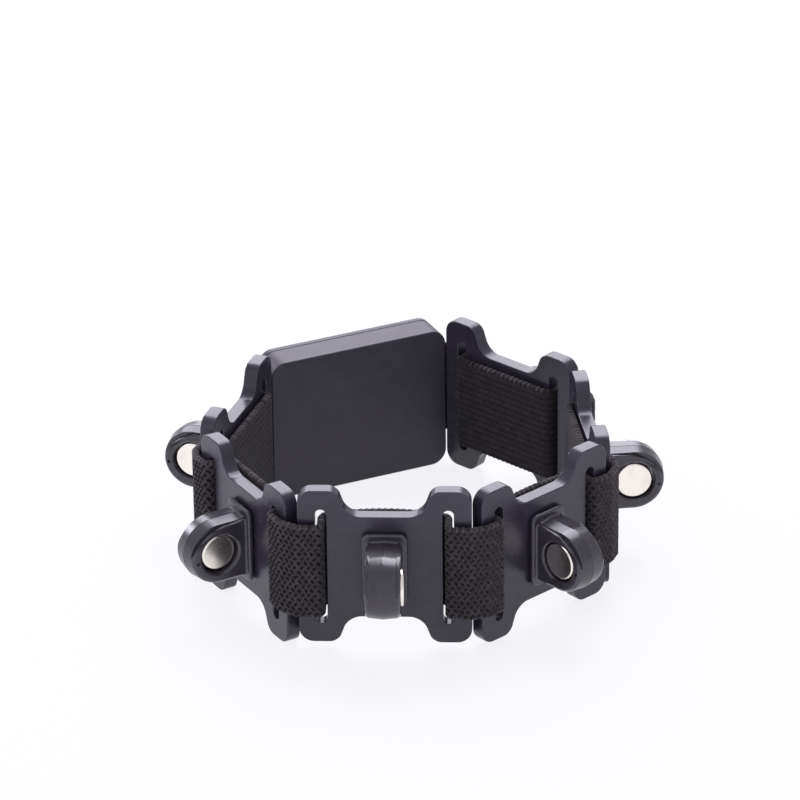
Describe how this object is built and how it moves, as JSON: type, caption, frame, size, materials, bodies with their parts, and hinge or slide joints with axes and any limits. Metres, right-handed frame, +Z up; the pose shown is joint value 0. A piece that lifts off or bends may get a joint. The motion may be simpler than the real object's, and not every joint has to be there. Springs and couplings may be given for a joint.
{
  "type": "magnetic hair clip wristband",
  "caption": "Elastic wristband of dog-bone plastic links and a flat hollow pad; each link has an eye lug with a disc magnet that holds hair clips.",
  "frame": {"origin": "bottom centre of the whole ring's box, on the surface that it stands on", "axes": "+Z up along the ring's axis, -Y towards the link at the front, +X to its right"},
  "size_m": [0.0844, 0.0846, 0.0291],
  "materials": {
    "plate_plastic": "satin moulded black with a faint violet cast, bright worn edges",
    "lug_plastic": "satin moulded black",
    "pad_plastic": "fine matt moulded charcoal",
    "magnet_nickel": "nickel plated, slightly brushed",
    "elastic_inside": "fine ribs along the band",
    "elastic_outside": "open diamond knit",
    "hidden_magnet": "plain",
    "clamp_plastic": "plain"
  },
  "bodies": {
    "pad": {"pad_housing": "pad_plastic", "pad_cover": "pad_plastic", "pad_magnet": "hidden_magnet", "band_clamp": "clamp_plastic", "band_end_in_pad": "elastic_outside"},
    "span_pad_back_right": {"band_outer_back_right_to_pad": "elastic_outside"},
    "link_back_right": {"link_plate_back_right": "plate_plastic", "magnet_lug_back_right": "lug_plastic", "lug_magnet_back_right": "magnet_nickel", "band_inner_back_right": "elastic_inside"},
    "span_back_right_right": {"band_outer_right_to_back_right": "elastic_outside"},
    "link_right": {"link_plate_right": "plate_plastic", "magnet_lug_right": "lug_plastic", "lug_magnet_right": "magnet_nickel", "band_inner_right": "elastic_inside"},
    "span_right_front_right": {"band_outer_front_right_to_right": "elastic_outside"},
    "link_front_right": {"link_plate_front_right": "plate_plastic", "magnet_lug_front_right": "lug_plastic", "lug_magnet_front_right": "magnet_nickel", "band_inner_front_right": "elastic_inside"},
    "span_front_right_front": {"band_outer_front_to_front_right": "elastic_outside"},
    "link_front": {"link_plate_front": "plate_plastic", "magnet_lug_front": "lug_plastic", "lug_magnet_front": "magnet_nickel", "band_inner_front": "elastic_inside"},
    "span_front_front_left": {"band_outer_front_left_to_front": "elastic_outside"},
    "link_front_left": {"link_plate_front_left": "plate_plastic", "magnet_lug_front_left": "lug_plastic", "lug_magnet_front_left": "magnet_nickel", "band_inner_front_left": "elastic_inside"},
    "span_front_left_left": {"band_outer_left_to_front_left": "elastic_outside"},
    "link_left": {"link_plate_left": "plate_plastic", "magnet_lug_left": "lug_plastic", "lug_magnet_left": "magnet_nickel", "band_inner_left": "elastic_inside", "band_tail_left_to_pad": "elastic_outside"}
  },
  "joints": [
    {"name": "band_stretch", "type": "slide", "parent": "pad", "child": "span_pad_back_right", "axis": [0.989, -0.1478, 0], "range_m": [0, 0.004], "stiffness_N_per_m": 60, "deforming": ["band_outer_back_right_to_pad"]},
    {"name": "ring_squeeze", "type": "hinge", "parent": "span_pad_back_right", "child": "link_back_right", "pos_m": [0.00572, 0.03672, 0.01375], "axis": [0, 0, 1], "range_deg": [-18, 18], "stiffness_Nm_per_rad": 0.004, "deforming": ["band_outer_back_right_to_pad"]},
    {"name": "stretch_back_right_right", "type": "slide", "parent": "link_back_right", "child": "span_back_right_right", "axis": [0.4617, -0.887, 0], "range_m": [0, 0.0037], "stiffness_N_per_m": 60, "deforming": ["band_outer_right_to_back_right"]},
    {"name": "swivel_back_right_right", "type": "hinge", "parent": "span_back_right_right", "child": "link_right", "pos_m": [0.02657, 0.01788, 0.01375], "axis": [0, 0, 1], "range_deg": [-10.99, 10.99], "stiffness_Nm_per_rad": 0.004, "deforming": ["band_outer_right_to_back_right"]},
    {"name": "stretch_right_front_right", "type": "slide", "parent": "link_right", "child": "span_right_front_right", "axis": [-0.3428, -0.9394, 0], "range_m": [0, 0.00377], "stiffness_N_per_m": 60, "deforming": ["band_outer_front_right_to_right"]},
    {"name": "swivel_right_front_right", "type": "hinge", "parent": "span_right_front_right", "child": "link_front_right", "pos_m": [0.03004, -0.01, 0.01375], "axis": [0, 0, 1], "range_deg": [-11.94, 11.94], "stiffness_Nm_per_rad": 0.004, "deforming": ["band_outer_front_right_to_right"]},
    {"name": "stretch_front_right_front", "type": "slide", "parent": "link_front_right", "child": "span_front_right_front", "axis": [-0.9382, -0.3461, 0], "range_m": [0, 0.00413], "stiffness_N_per_m": 60, "deforming": ["band_outer_front_to_front_right"]},
    {"name": "swivel_front_right_front", "type": "hinge", "parent": "span_front_right_front", "child": "link_front", "pos_m": [0.00942, -0.02909, 0.01375], "axis": [0, 0, 1], "range_deg": [-13.49, 13.49], "stiffness_Nm_per_rad": 0.004, "deforming": ["band_outer_front_to_front_right"]},
    {"name": "stretch_front_front_left", "type": "slide", "parent": "link_front", "child": "span_front_front_left", "axis": [-0.859, 0.512, 0], "range_m": [0, 0.00455], "stiffness_N_per_m": 60, "deforming": ["band_outer_front_left_to_front"]},
    {"name": "swivel_front_front_left", "type": "hinge", "parent": "span_front_front_left", "child": "link_front_left", "pos_m": [-0.01865, -0.02797, 0.01375], "axis": [0, 0, 1], "range_deg": [-9.39, 9.39], "stiffness_Nm_per_rad": 0.004, "deforming": ["band_outer_front_left_to_front"]},
    {"name": "stretch_front_left_left", "type": "slide", "parent": "link_front_left", "child": "span_front_left_left", "axis": [-0.1044, 0.9945, 0], "range_m": [0, 0.00471], "stiffness_N_per_m": 60, "deforming": ["band_outer_left_to_front_left"]},
    {"name": "swivel_front_left_left", "type": "hinge", "parent": "span_front_left_left", "child": "link_left", "pos_m": [-0.033, -0.0038, 0.01375], "axis": [0, 0, 1], "range_deg": [-18.01, 18.01], "stiffness_Nm_per_rad": 0.004, "deforming": ["band_outer_left_to_front_left"]}
  ],
  "couplings": [
    {"joint": "stretch_back_right_right", "follows": "band_stretch", "ratio": 0.92267},
    {"joint": "swivel_back_right_right", "follows": "ring_squeeze", "ratio": -0.60803},
    {"joint": "stretch_right_front_right", "follows": "band_stretch", "ratio": 0.93937},
    {"joint": "swivel_right_front_right", "follows": "ring_squeeze", "ratio": -0.66043},
    {"joint": "stretch_front_right_front", "follows": "band_stretch", "ratio": 1.0309},
    {"joint": "swivel_front_right_front", "follows": "ring_squeeze", "ratio": 0.74692},
    {"joint": "stretch_front_front_left", "follows": "band_stretch", "ratio": 1.1361},
    {"joint": "swivel_front_front_left", "follows": "ring_squeeze", "ratio": 0.51914},
    {"joint": "stretch_front_left_left", "follows": "band_stretch", "ratio": 1.1747},
    {"joint": "swivel_front_left_left", "follows": "ring_squeeze", "ratio": -0.99761}
  ]
}
